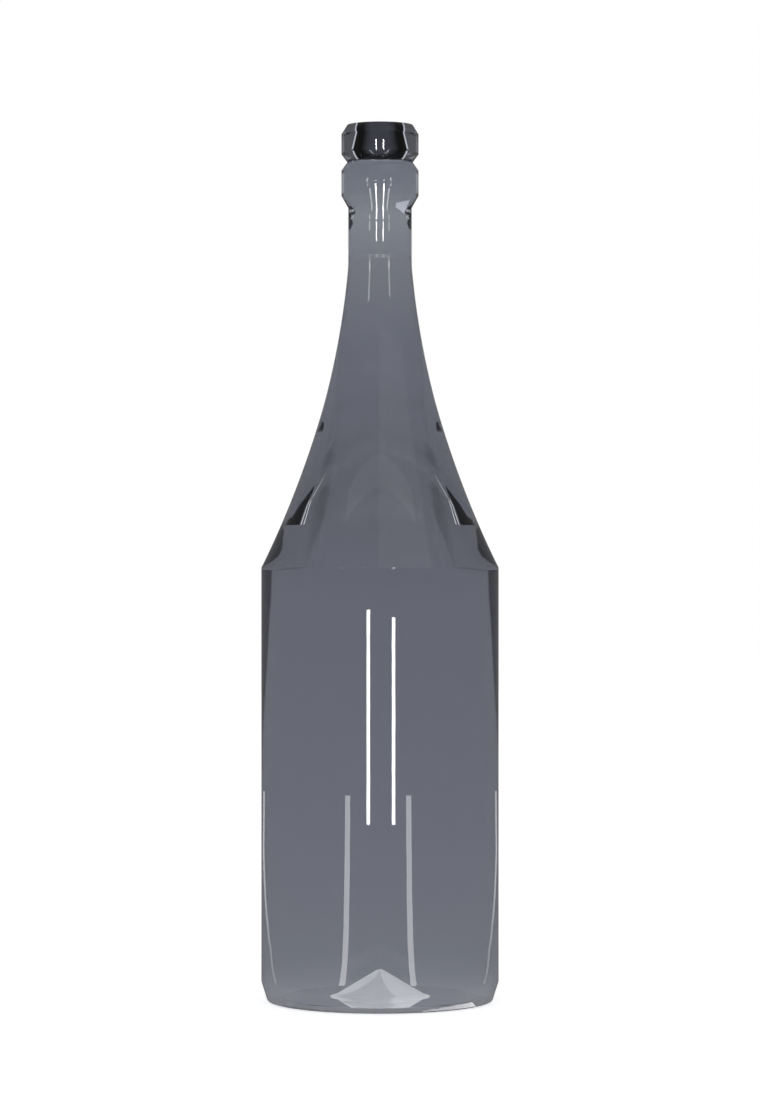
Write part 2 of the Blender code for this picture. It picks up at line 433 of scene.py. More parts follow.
@dataclass(frozen=True)
class EdgeZone:
    """A zone of glass that is seen edge-on, between two degrees of facing that change with the height. The
    finishes paint shade or highlights into the glass's colour by its share, or let the light pass straight
    through there.

    Args:
        stops: (height, inner, outer) in rising order. The zone lies between the inner and the outer
            degree of facing, from 0 for face-on to 1 for edge-on. An inner degree over 1 closes it.
        softness: How gently the zone sets in at its inner side.
        fade: How gently it ends at its outer side.
        strength: The zone's full share.
        lines: How many fine lines the zone is split into, or 0 where it is whole.
    """

    stops: tuple[Triple, ...]
    softness: float = 0.03
    fade: float = 0.03
    strength: float = 1.0
    lines: int = 0

    RAMP_SPAN = 1.6
    RAMP_START = -0.3
    LINE_SIDES = (0.22, 0.44)

    def share(self, tree: FinishTree) -> Wire:
        """How much of the zone each place takes."""
        facing = tree.facing()
        low = self.stops[0][0]
        span = self.stops[-1][0] - low
        shades = tuple(((z - low) / span, (self._coded(inner), self._coded(outer), 0.0))
                       for z, inner, outer in self.stops)
        ramp = tree.node("ShaderNodeValToRGB", {"stops": shades}, {0: (tree.height() - low) / span})[0]
        bounds = tree.node("ShaderNodeSeparateColor", {}, {0: ramp})
        inner = bounds[0] * self.RAMP_SPAN + self.RAMP_START
        outer = bounds[1] * self.RAMP_SPAN + self.RAMP_START
        within = tree.rise(facing - inner, 0.0, self.softness)
        if self.lines:
            across = (facing - inner) / (outer - inner) * float(self.lines)
            within = within * tree.rise(tree.math("PINGPONG", across, 0.5), *self.LINE_SIDES)
        return within * tree.fall(facing - outer, -self.fade, 0.0) * self.strength

    def _coded(self, degree: float) -> float:
        """A degree of facing as a ramp's brightness."""
        return (degree - self.RAMP_START) / self.RAMP_SPAN


@dataclass(frozen=True)
class Finish:
    """A material's recipe.

    Args:
        name: The material's name.
    """

    name: str

    def material(self) -> bpy.types.Material:
        """Build the material."""
        tree = FinishTree(self.name)
        self.write(tree)
        return tree.material

    def write(self, tree: FinishTree) -> None:
        """Write the recipe into a tree."""
        raise NotImplementedError

    @staticmethod
    def toned(colour: Triple, factor: float) -> Triple:
        """A colour made deeper or paler, up to white."""
        return tuple(min(value * factor, 1.0) for value in colour)


@dataclass(frozen=True)
class SmokedGlass(Finish):
    """The bottle's glass: a cool grey, with painted light and shade that make it deepest at the shoulder and
    paler at the collar and foot.

    Args:
        stops: The tint at shares of the bottle's height.
        full_height: The height that a share of 1 stands for.
        shades: Where painted shade makes the glass deeper edge-on.
        glints: Where painted highlights make it paler edge-on.
        clear: Where its light passes straight through instead of staying trapped.
        ripple_depth: Depth of the slow waves that the mould leaves.
        seam_depth: Height of the two mould seams.
        seam_width: Half the width of a seam.
        ring_z: Height of the dull ring where the mould's neck piece joined.
        ring_width: Half its width.
        ring_roughness: How dull it is.
    """

    stops: tuple[tuple[float, Triple], ...]
    full_height: float
    shades: tuple[EdgeZone, ...] = ()
    glints: tuple[EdgeZone, ...] = ()
    clear: EdgeZone | None = None
    ripple_depth: float = 0.000004
    seam_depth: float = 0.00003
    seam_width: float = 0.0005
    ring_z: float = 0.2751
    ring_width: float = 0.0010
    ring_roughness: float = 0.20

    CORDS = Clouds(34.0, 2.0, 0.12, 0.6)
    CORD_SHARE = 0.05
    CORD_TINT = (0.01, 0.011, 0.014)
    SMEARS = Clouds(26.0, 4.0, 0.35, 1.2)
    SMEAR_SIDES = (0.60, 0.78)
    SMEAR_ROUGHNESS = 0.012
    WAVES = Clouds(24.0, 1.0, 0.4)

    def write(self, tree: FinishTree) -> None:
        """Write the recipe into a tree."""
        tree.glass()
        share = tree.height() / self.full_height
        tint = tree.node("ShaderNodeValToRGB", {"stops": self.stops}, {0: share})[0]
        tint = tree.mix_colours(tree.noise(self.CORDS) * self.CORD_SHARE, tint, self.CORD_TINT)
        # Painted shade and painted highlights where the glass is seen edge-on
        for zones, colour in ((self.shades, PAINTED_SHADE_COLOUR), (self.glints, PAINTED_HIGHLIGHT_COLOUR)):
            for zone in zones:
                tint = tree.mix_colours(zone.share(tree), tint, colour)
        tree.varying("Base Color", tint)
        smears = tree.rise(tree.noise(self.SMEARS), *self.SMEAR_SIDES) * self.SMEAR_ROUGHNESS
        from_ring = abs(tree.height() - self.ring_z)
        ring = tree.fall(from_ring, self.ring_width / 2, self.ring_width)
        tree.varying("Roughness", smears + ring * self.ring_roughness)
        seams = tree.fall(abs(tree.split(tree.place)[1]), 0.0, self.seam_width)
        waves = tree.noise(self.WAVES) * (self.ripple_depth / self.seam_depth)
        tree.relief(waves + seams, self.seam_depth)
        if self.clear:
            tree.blend_through(self.clear.share(tree), tint)


@dataclass(frozen=True)
class QuietGlass(Finish):
    """Glass that doesn't bend the light, for walls that the photograph doesn't show.

    Args:
        tint: Its colour.
    """

    tint: Triple

    FILM = Clouds(30.0, 3.0, 0.3, 0.8)
    FILM_TONE = 0.97
    FILM_ROUGHNESS = 0.004

    def write(self, tree: FinishTree) -> None:
        """Write the recipe into a tree."""
        tree.glass(NO_BENDING)
        film = tree.noise(self.FILM)
        filmed = self.toned(self.tint, self.FILM_TONE)
        tree.varying("Base Color", tree.mix_colours(film, self.tint, filmed))
        tree.varying("Roughness", film * self.FILM_ROUGHNESS)


@dataclass(frozen=True)
class ShankGlass(QuietGlass):
    """The glass of the stopper's shank, which the photograph doesn't show behind the neck's glass.

    Its tint is its colour once it is lifted out.

    Args:
        edge_painted_shade: Its darker colour of painted shade there where it turns away.
        hidden_tint: Its colour behind other glass.
    """

    edge_painted_shade: Triple
    hidden_tint: Triple

    EDGE_SIDES = (0.40, 0.85)
    GLOSS = 1.0
    GLOSS_ROUGHNESS = 0.02

    def write(self, tree: FinishTree) -> None:
        """Write the recipe into a tree."""
        tree.glass(NO_BENDING)
        tree.constants(Coat_IOR=GLASS_BENDING, Coat_Roughness=self.GLOSS_ROUGHNESS)
        lifted = tree.node("ShaderNodeLightPath")["Is Camera Ray"]
        film = tree.noise(self.FILM)
        # Painted shade towards the edges where the shank turns away
        edge = tree.rise(tree.facing(), *self.EDGE_SIDES)
        tint = tree.mix_colours(edge, self.tint, self.edge_painted_shade)
        tint = tree.mix_colours(lifted, self.hidden_tint, tint)
        filmed = tree.mix_colours(1.0 - self.FILM_TONE, tint, BLACK)
        tree.varying("Base Color", tree.mix_colours(film, tint, filmed))
        tree.varying("Coat Weight", lifted * self.GLOSS)
        tree.varying("Roughness", film * self.FILM_ROUGHNESS)


@dataclass(frozen=True)
class FrostedGlass(Finish):
    """The kick-up's glass, which the plunger left matt. Where it is seen through the walls it glows with
    painted light, with a star of painted shade in the glow.

    Args:
        tint: Its colour.
        roughness: How matt it is.
        painted_glow: How bright its painted glow looks through the walls, where white is 1.
        radius: The radius of the kick-up's root.
        root_z: The height of its root.
        height: Its height over the root.
        star_shade: How bright the star of painted shade is, next to the rest of the glow.
        right_arm: How many times shorter the star's right arm is than the root's radius.
        bulge: How far the star's arms bend with the cone.
    """

    tint: Triple
    roughness: float
    painted_glow: float
    radius: float
    root_z: float
    height: float
    star_shade: float = 0.58
    right_arm: float = 2.8
    bulge: float = 0.19

    PASSING = 0.5
    GRAIN = Clouds(700.0, 3.0)
    GRAIN_TONE = 0.92
    GRAIN_ROUGHNESS = 0.1
    STAR_POWER = 2 / 3
    STAR_SIDES = (0.97, 1.03)

    def write(self, tree: FinishTree) -> None:
        """Write the recipe into a tree."""
        tree.glass(passing=self.PASSING)
        tree.constants(Emission_Strength=1.0)
        grain = tree.noise(self.GRAIN)
        grained = self.toned(self.tint, self.GRAIN_TONE)
        tree.varying("Base Color", tree.mix_colours(grain, self.tint, grained))
        tree.varying("Roughness", grain * self.GRAIN_ROUGHNESS + self.roughness)
        # Painted glow, seen only through the glass, dimmed in a star of painted shade
        within = tree.node("ShaderNodeLightPath")["Is Glossy Ray"] * self.painted_glow
        within = within * (1.0 - self._star(tree) * (1.0 - self.star_shade))
        tree.varying("Emission Color", tree.mix_colours(within, BLACK, self.tint))

    def _star(self, tree: FinishTree) -> Wire:
        """The star of painted shade in the glow, with its long arm to the left."""
        parts = tree.split(tree.place)
        aside = parts[0] / self.radius
        across = tree.math("MAXIMUM", aside * self.right_arm, aside * -1.0)
        up = (parts[2] - self.root_z) / self.height + parts[1] * (self.bulge / self.radius)
        spread = tree.math("POWER", across, self.STAR_POWER) + tree.math("POWER", abs(up), self.STAR_POWER)
        return tree.fall(spread, *self.STAR_SIDES)


@dataclass(frozen=True)
class StopperGlass(Finish):
    """The clear outer glass of the stopper's head, over its dark core.

    Args:
        tint: Its colour.
        glint: Where painted highlights make it paler edge-on.
        ripple_depth: Depth of the pressed glass's slow waves.
    """

    tint: Triple
    glint: EdgeZone
    ripple_depth: float = 0.0000015

    STREAKS = Clouds(90.0, 3.0, 0.1, 0.7)
    STREAK_TONE = 0.62
    SMEARS = Clouds(60.0, 3.0)
    SMEAR_SIDES = (0.6, 0.8)
    SMEAR_ROUGHNESS = 0.02
    WAVES = Clouds(55.0, 1.0)

    def write(self, tree: FinishTree) -> None:
        """Write the recipe into a tree."""
        tree.glass()
        streaked = self.toned(self.tint, self.STREAK_TONE)
        tint = tree.mix_colours(tree.noise(self.STREAKS), self.tint, streaked)
        # Painted highlights along the head's edges
        tree.varying("Base Color", tree.mix_colours(self.glint.share(tree), tint, PAINTED_HIGHLIGHT_COLOUR))
        smears = tree.rise(tree.noise(self.SMEARS), *self.SMEAR_SIDES)
        tree.varying("Roughness", smears * self.SMEAR_ROUGHNESS)
        tree.relief(tree.noise(self.WAVES), self.ripple_depth)


@dataclass(frozen=True)
class DarkCore(Finish):
    """The nearly black glass inside the stopper's head, with a painted sheen where it faces the viewer and a
    painted glow along its edge.

    Args:
        colour: Its colour.
        painted_sheen: The paler colour of the painted sheen on its side that faces the viewer.
        roughness: How soft its gloss is.
        rim: How bright the painted glow along its edge is, where white is 1.
        rim_low: The height where that painted glow starts.
    """

    colour: Triple
    painted_sheen: Triple
    roughness: float
    rim: float
    rim_low: float

    BENDING = 1.15
    CLOUDS = Clouds(120.0, 3.0, 0.4, 0.5)
    CLOUD_SPAN = 0.4
    CLOUD_BASE = 0.8
    CLOUD_ROUGHNESS = 0.06
    CLOUD_DEPTH = 0.02 * MILLIMETRE
    PAINTED_SHEEN_SIDES = (0.03, 0.30)
    RIM_INNER = (0.62, 0.72)
    RIM_OUTER = (0.84, 0.94)
    RIM_TINT = (0.95, 0.96, 1.0)

    def write(self, tree: FinishTree) -> None:
        """Write the recipe into a tree."""
        tree.constants(IOR=self.BENDING, Specular_IOR_Level=PLAIN_SPECULAR, Emission_Strength=self.rim)
        clouds = tree.noise(self.CLOUDS)
        facing = tree.facing()
        # Painted sheen where the core faces the viewer, and a painted glow along its edge
        painted_sheen = tree.fall(facing, *self.PAINTED_SHEEN_SIDES) * (clouds * self.CLOUD_SPAN + self.CLOUD_BASE)
        rim = tree.rise(facing, *self.RIM_INNER) * tree.fall(facing, *self.RIM_OUTER)
        rim = rim * tree.rise(tree.height(), self.rim_low, self.rim_low + MILLIMETRE)
        tree.varying("Emission Color", tree.mix_colours(rim, BLACK, self.RIM_TINT))
        tree.varying("Base Color", tree.mix_colours(painted_sheen, self.colour, self.painted_sheen))
        tree.varying("Roughness", clouds * self.CLOUD_ROUGHNESS + self.roughness)
        tree.relief(clouds, self.CLOUD_DEPTH)


@dataclass(frozen=True)
class SealPolymer(Finish):
    """The soft polymer of the seal ring.

    Args:
        colour: Its colour.
    """

    colour: Triple

    BENDING = 1.45
    PASSING = 0.35
    GRAIN = Clouds(900.0, 4.0)
    GRAIN_TONE = 1.25
    GRAIN_ROUGHNESS = 0.2
    GRAIN_DEPTH = 0.01 * MILLIMETRE
    ROUGHNESS = 0.35

    def write(self, tree: FinishTree) -> None:
        """Write the recipe into a tree."""
        tree.constants(IOR=self.BENDING, Transmission_Weight=self.PASSING)
        grain = tree.noise(self.GRAIN)
        paler = self.toned(self.colour, self.GRAIN_TONE)
        tree.varying("Base Color", tree.mix_colours(grain, self.colour, paler))
        tree.varying("Roughness", grain * self.GRAIN_ROUGHNESS + self.ROUGHNESS)
        tree.relief(grain, self.GRAIN_DEPTH)


def in_scene(name: str, data: bpy.types.ID) -> bpy.types.Object:
    """Make an object of a mesh, a lamp or a camera, and put it in the scene."""
    made = bpy.data.objects.new(name, data)
    bpy.context.scene.collection.objects.link(made)
    return made


class Lathe:
    """Turns a section into a solid with Geometry Nodes.

    The tree lays a grid with one column for each turn and one row for each point of the section, wraps it
    round the axis, and gives each zone its material.
    """

    ZONE_ATTRIBUTE = "zone"

    def __init__(self) -> None:
        """Build the tree that every turned piece shares."""
        self.tree = bpy.data.node_groups.new("turned_section", "GeometryNodeTree")
        self.sockets: dict[str, str] = {}
        kinds = {"Section": "Geometry", "Turns": "Int", "Merge Distance": "Float"}
        kinds |= {zone.name: "Material" for zone in Zone}
        for name, kind in kinds.items():
            made = self.tree.interface.new_socket(name=name, in_out="INPUT", socket_type="NodeSocket" + kind)
            self.sockets[name] = made.identifier
        self.tree.interface.new_socket(name="Solid", in_out="OUTPUT", socket_type="NodeSocketGeometry")
        self._write()

    def _write(self) -> None:
        """Write the nodes between the inputs and the finished solid."""
        writer = TreeWriter(self.tree)
        given = writer.node("NodeGroupInput")
        rows = writer.node("GeometryNodeAttributeDomainSize", {"component": "MESH"}, {0: given["Section"]})[0]
        grid = writer.node("GeometryNodeMeshGrid", {}, {"Vertices X": given["Turns"] + 1, "Vertices Y": rows})
        index = writer.node("GeometryNodeInputIndex")[0]
        column = writer.math("FLOOR", (index + 0.5) / rows)
        row = index - column * rows
        angle = column * (2 * pi) / given["Turns"]
        place = writer.node("GeometryNodeInputPosition")[0]
        parts = writer.split(self._sample(writer, given["Section"], place, row, "FLOAT_VECTOR"))
        turned = writer.node("ShaderNodeCombineXYZ", {}, {
            "X": parts[0] * writer.math("COSINE", angle),
            "Y": parts[0] * writer.math("SINE", angle),
            "Z": parts[2],
        })[0]
        kept = writer.node("GeometryNodeCaptureAttribute")
        kept.node.capture_items.new("FLOAT", "Row")
        writer.feed(kept.node.inputs[0], grid["Mesh"])
        writer.feed(kept.node.inputs[1], row)
        solid = kept[0]
        steps = {
            "SetPosition": {"Position": turned},
            "MergeByDistance": {"Distance": given["Merge Distance"]},
            "SetShadeSmooth": {"Shade Smooth": True},
            "RealizeInstances": {},
        }
        for kind, inputs in steps.items():
            solid = writer.node("GeometryNode" + kind, {}, {"Geometry": solid, **inputs})[0]
        zone_field = writer.node("GeometryNodeInputNamedAttribute", {"data_type": "FLOAT"},
                                 {"Name": self.ZONE_ATTRIBUTE})[0]
        face_row = writer.math("FLOOR", kept[1])
        face_zone = self._sample(writer, given["Section"], zone_field, face_row, "FLOAT")
        for zone in Zone:
            chosen = writer.node("FunctionNodeCompare", {"data_type": "FLOAT", "operation": "EQUAL"},
                                 {0: face_zone, 1: float(zone.value), "Epsilon": ZONE_TOLERANCE})[0]
            solid = writer.node("GeometryNodeSetMaterial", {}, {
                "Geometry": solid,
                "Selection": chosen,
                "Material": given[zone.name],
            })[0]
        writer.node("NodeGroupOutput", {}, {0: solid})

    @staticmethod
    def _sample(writer: TreeWriter, source: Wire, value: Wire, index: Wire, kind: str) -> Wire:
        """Read a value from one point of the section."""
        settings = {"data_type": kind, "domain": "POINT", "clamp": True}
        return writer.node("GeometryNodeSampleIndex", settings, {0: source, 1: value, "Index": index})[0]

    def turn(self, name: str, section: Section, finishes: dict[Zone, Finish],
             base_height: float = 0.0) -> bpy.types.Object:
        """Turn one section.

        Args:
            name: The piece's name.
            section: Its outline.
            finishes: The finish of each zone that the section uses.
            base_height: Where the section's zero height stands.

        Returns:
            The piece, as a plain closed mesh at the origin.
        """
        materials = {zone: finish.material() for zone, finish in finishes.items()}
        carrier = self._carrier(name, section, base_height)
        modifier = carrier.modifiers.new("turning", "NODES")
        modifier.node_group = self.tree
        modifier[self.sockets["Turns"]] = TURNS
        modifier[self.sockets["Merge Distance"]] = MERGE_DISTANCE
        spare = next(iter(materials.values()))
        for zone in Zone:
            modifier[self.sockets[zone.name]] = materials.get(zone, spare)
        return plain_mesh(carrier, name)

    def _carrier(self, name: str, section: Section, base_height: float) -> bpy.types.Object:
        """A line mesh that carries a section's points and zones."""
        points = section.points()
        mesh = bpy.data.meshes.new(name + "_section")
        mesh.from_pydata([(r, 0.0, z + base_height) for r, z, _ in points], [], [])
        zones = mesh.attributes.new(self.ZONE_ATTRIBUTE, "FLOAT", "POINT")
        zones.data.foreach_set("value", [float(zone) for _, _, zone in points])
        return in_scene(mesh.name, mesh)


def plain_mesh(carrier: bpy.types.Object, name: str) -> bpy.types.Object:
    """Turn an object's evaluated shape into a plain mesh object and remove the carrier.

    Args:
        carrier: The object whose modifiers make the shape.
        name: The new object's name.

    Returns:
        The new object, at the origin and without modifiers.
    """
    graph = bpy.context.evaluated_depsgraph_get()
    mesh = bpy.data.meshes.new_from_object(carrier.evaluated_get(graph))
    mesh.name = name
    piece = in_scene(name, mesh)
    carrier.modifiers.clear()
    bpy.data.objects.remove(carrier, do_unlink=True)
    check_closed(piece)
    return piece


def check_closed(piece: bpy.types.Object) -> None:
    """Report a piece whose mesh has an open edge or faces that point inwards."""
    shape = bmesh.new()
    shape.from_mesh(piece.data)
    open_edges = sum(1 for edge in shape.edges if not edge.is_manifold)
    volume = shape.calc_volume(signed=True)
    shape.free()
    LOG.info("%s holds %.2f ml of material", piece.name, volume * MILLILITRES)
    if open_edges or volume <= 0:
        LOG.warning("%s has %d open edges and a volume of %.3g", piece.name, open_edges, volume)


# The bottle's tint at shares of its height, whose changes with height are painted light and shade, and the
# even tint of its foot
BOTTLE_TINTS = (
    (0.00, (0.258, 0.268, 0.306)), (0.04, (0.178, 0.188, 0.219)), (0.20, (0.155, 0.163, 0.201)),
    (0.36, (0.144, 0.153, 0.187)), (0.48, (0.137, 0.144, 0.179)), (0.60, (0.117, 0.122, 0.150)),
    (0.78, (0.147, 0.156, 0.192)), (0.88, (0.186, 0.196, 0.227)), (0.94, (0.240, 0.256, 0.290)),
    (1.00, (0.158, 0.167, 0.204)),
)
FOOT_TINTS = ((0.0, (0.17, 0.174, 0.188)), (1.0, (0.17, 0.174, 0.188)))

# The zones of painted shade and painted highlights where the glass is seen edge-on, where an outer degree of
# EDGE runs on to the outline
EDGE = 1.3
ALL = -0.2
CLOSED = (1.25, EDGE)
# Painted shade: the body's and shoulder's dark edges, the shoulder's wedges and the marks at the neck's top
BODY_SHADE = EdgeZone((
    (0.0814, 0.92, EDGE), (0.1070, 0.755, EDGE), (0.1118, 0.730, EDGE), (0.1218, 0.680, EDGE),
    (0.1318, 0.640, EDGE), (0.1419, 0.610, EDGE), (0.1496, 0.575, EDGE), (0.1594, 0.560, EDGE),
    (0.1600, *CLOSED),
), softness=0.05, fade=0.02, strength=0.96)
LOWER_SHOULDER_SHADE = EdgeZone((
    (0.1597, *CLOSED), (0.1602, 0.86, EDGE), (0.1626, 0.665, EDGE), (0.1648, 0.580, EDGE),
    (0.1674, 0.570, EDGE), (0.1740, 0.68, EDGE), (0.1757, 0.80, EDGE), (0.1764, *CLOSED),
), softness=0.04, fade=0.02, strength=0.86)
SHOULDER_WEDGE_SHADES = EdgeZone((
    (0.1758, *CLOSED), (0.1763, 0.462, 0.75), (0.1782, 0.462, 0.74), (0.1792, 0.462, 0.66),
    (0.1831, 0.458, 0.61), (0.1879, 0.425, 0.51), (0.1906, 0.415, 0.46), (0.1916, *CLOSED),
    (0.2105, *CLOSED), (0.2112, 0.56, 0.80), (0.2140, 0.60, 0.72), (0.2156, *CLOSED),
), softness=0.012, fade=0.05)
NECK_TOP_SHADES = EdgeZone((
    (0.2852, *CLOSED), (0.2857, 0.58, EDGE), (0.2875, 0.46, EDGE), (0.2892, 0.52, EDGE),
    (0.2896, *CLOSED), (0.2906, *CLOSED), (0.2909, 0.37, EDGE), (0.2918, 0.345, EDGE),
    (0.2928, 0.41, EDGE), (0.2942, 0.57, EDGE), (0.2950, *CLOSED),
), softness=0.03, fade=0.02)
# Painted highlights: the shoulder's lines, the spots at the neck's top and the collar's and head's edge lines
SHOULDER_DOUBLE_GLINTS = EdgeZone((
    (0.1758, *CLOSED), (0.1763, 0.400, 0.466), (0.1782, 0.400, 0.466), (0.1831, 0.404, 0.460),
    (0.1858, 0.404, 0.440), (0.1868, *CLOSED),
), softness=0.003, fade=0.003, lines=2)
SHOULDER_GLINT_LINE = EdgeZone((
    (0.1858, *CLOSED), (0.1863, 0.400, 0.420), (0.1949, 0.318, 0.332), (0.1960, *CLOSED),
), softness=0.005, fade=0.005, strength=0.45)
NECK_TOP_GLINTS = EdgeZone((
    (0.2888, *CLOSED), (0.2893, 0.42, 0.62), (0.2904, 0.42, 0.62), (0.2907, *CLOSED),
    (0.2916, *CLOSED), (0.2918, 0.41, 0.74), (0.2927, 0.41, 0.74), (0.2930, *CLOSED),
))
COLLAR_GLINT = EdgeZone((
    (0.2968, *CLOSED), (0.2974, 0.63, 0.83), (0.3060, 0.63, 0.83), (0.3070, *CLOSED),
), softness=0.05, fade=0.05, strength=0.95)
HEAD_GLINT = EdgeZone((
    (0.3125, *CLOSED), (0.3132, 0.62, 0.84), (0.3215, 0.62, 0.84), (0.3222, *CLOSED),
), softness=0.05, fade=0.05, strength=0.6)

# The zones where the light passes straight through
BOTTLE_CLEAR = EdgeZone((
    (0.0000, ALL, EDGE), (0.0340, ALL, EDGE), (0.0344, *CLOSED), (0.1590, *CLOSED), (0.1596, 0.12, EDGE),
    (0.1900, 0.18, EDGE), (0.2200, 0.27, EDGE), (0.2400, 0.50, EDGE), (0.2600, *CLOSED),
), softness=0.22)
FOOT_CLEAR = EdgeZone(((0.0, ALL, EDGE), (0.0012, ALL, EDGE), (0.0013, *CLOSED), (0.0020, *CLOSED)))


@dataclass(frozen=True)
class Bottle:
    """The blown glass vessel: foot, body, shoulder, neck, collar and mouth."""

    body_diameter: float = 0.0880
    body_wall: float = 0.0030
    body_straight_height: float = 0.1532
    heel_height: float = 0.0072
    heel_inset: float = 0.0023
    heel_edge_radius: float = 0.0015
    shoulder_height: float = 0.1119
    shoulder_top_angle: float = radians(5.0)
    shoulder_edge_radius: float = 0.0003
    shoulder_fullness: float = 0.0003
    shoulder_full_z: float = 0.2226
    floor_corner_radius: float = 0.0060
    foot_edge_radius: float = 0.0010
    foot_ring_width: float = 0.0040
    foot_ring_depth: float = 0.0014
    foot_ring_bevel: float = 0.0016
    base_thickness: float = 0.0042
    punt_diameter: float = 0.0350
    punt_height: float = 0.0105
    punt_tip_radius: float = 0.0030
    punt_root_radius: float = 0.0030
    bore_diameter: float = 0.0182
    neck_wall: float = 0.00265
    neck_straight_height: float = 0.0215
    neck_blend_radius: float = 0.0600
    collar_lower_slope_height: float = 0.0045
    collar_band_height: float = 0.0093
    collar_upper_slope_height: float = 0.0030
    collar_rim_width: float = 0.00205
    lip_land_width: float = 0.0010
    lip_edge_radius: float = 0.0003
    mouth_seat_width: float = 0.00215

    @property
    def body_radius(self) -> float:
        """The body's outer radius."""
        return self.body_diameter / 2

    @property
    def foot_radius(self) -> float:
        """The outer radius of the foot ring's flat."""
        return self.body_radius - self.heel_inset

    @property
    def bore_radius(self) -> float:
        """The neck's inner radius."""
        return self.bore_diameter / 2

    @property
    def neck_radius(self) -> float:
        """The neck's outer radius."""
        return self.bore_radius + self.neck_wall

    @property
    def mouth_radius(self) -> float:
        """The mouth's radius at the lip, above its sloped seat."""
        return self.bore_radius + self.mouth_seat_width

    @property
    def lip_radius(self) -> float:
        """The outer radius of the lip's flat."""
        return self.mouth_radius + self.lip_land_width

    @property
    def collar_radius(self) -> float:
        """The collar's outer radius."""
        return self.lip_radius + self.collar_rim_width

    @property
    def shoulder_base_z(self) -> float:
        """The height where the body meets the shoulder."""
        return self.heel_height + self.body_straight_height

    @property
    def neck_base_z(self) -> float:
        """The height where the shoulder meets the neck."""
        return self.shoulder_base_z + self.shoulder_height

    @property
    def collar_lower_z(self) -> float:
        """The height of the collar's lower edge."""
        return self.neck_base_z + self.neck_straight_height + self.collar_lower_slope_height

    @property
    def collar_upper_z(self) -> float:
        """The height of the collar's upper edge."""
        return self.collar_lower_z + self.collar_band_height

    @property
    def lip_z(self) -> float:
        """The height of the lip."""
        return self.collar_upper_z + self.collar_upper_slope_height

    @property
    def floor_z(self) -> float:
        """The height of the inside floor."""
        return self.foot_ring_depth + self.base_thickness

    def section(self) -> Section:
        """The whole section, from the axis underneath, up the outside and down the inside."""
        drawn = Section()
        self._draw_underside(drawn)
        self._draw_outside(drawn)
        self._draw_inside(drawn)
        return drawn

    def _draw_underside(self, drawn: Section) -> None:
        """The kick-up, the recess round it and the foot ring."""
        drawn.zone = Zone.KICK_UP
        dome, root = self._punt_dome(self.foot_ring_depth, 0.0)
        ring_inner = self.foot_radius - self.foot_ring_width
        drawn.curve(dome)
        drawn.corner(root, self.foot_ring_depth, self.punt_root_radius)
        drawn.zone = Zone.UNDERSIDE
        drawn.corner(root + self.foot_edge_radius, self.foot_ring_depth)
        drawn.corner(ring_inner - self.foot_ring_bevel, self.foot_ring_depth, self.foot_edge_radius)
        drawn.corner(ring_inner, 0.0, self.foot_edge_radius)

    def _draw_outside(self, drawn: Section) -> None:
        """The foot, the heel, the body, the shoulder, the neck and the collar, up to the lip."""
        drawn.zone = Zone.OUTSIDE
        drawn.corner(self.foot_radius, 0.0, self.foot_edge_radius)
        drawn.corner(self.body_radius, self.heel_height, self.heel_edge_radius)
        drawn.corner(self.body_radius, self.shoulder_base_z, self.shoulder_edge_radius)
        curve, _ = self._shoulder(self.neck_radius, self.body_radius, self.shoulder_base_z)
        drawn.curve(curve)
        drawn.soft_corner(self.neck_radius, self.neck_base_z + self.neck_straight_height)
        drawn.soft_corner(self.collar_radius, self.collar_lower_z)
        drawn.soft_corner(self.collar_radius, self.collar_upper_z)
        drawn.soft_corner(self.lip_radius, self.lip_z)

    def _draw_inside(self, drawn: Section) -> None:
        """The mouth's seat, the bore, the inside of the shoulder and body, and the floor."""
        drawn.zone = Zone.INSIDE
        inner = self.body_radius - self.body_wall
        _, outer_angle = self._shoulder(self.neck_radius, self.body_radius, self.shoulder_base_z)
        shoulder_z = self.shoulder_base_z - self.body_wall * tan(outer_angle / 2)
        curve, _ = self._shoulder(self.bore_radius, inner, shoulder_z)
        drawn.corner(self.mouth_radius, self.lip_z, self.lip_edge_radius)
        drawn.corner(self.bore_radius, self.lip_z - self.mouth_seat_width, self.lip_edge_radius)
        drawn.curve(curve[::-1])
        drawn.corner(inner, shoulder_z, self.shoulder_edge_radius)
        drawn.corner(inner, self.floor_z, self.floor_corner_radius)
        dome, root = self._punt_dome(self.floor_z, self.base_thickness)
        drawn.corner(root, self.floor_z, self.punt_root_radius)
        drawn.curve(dome[::-1])

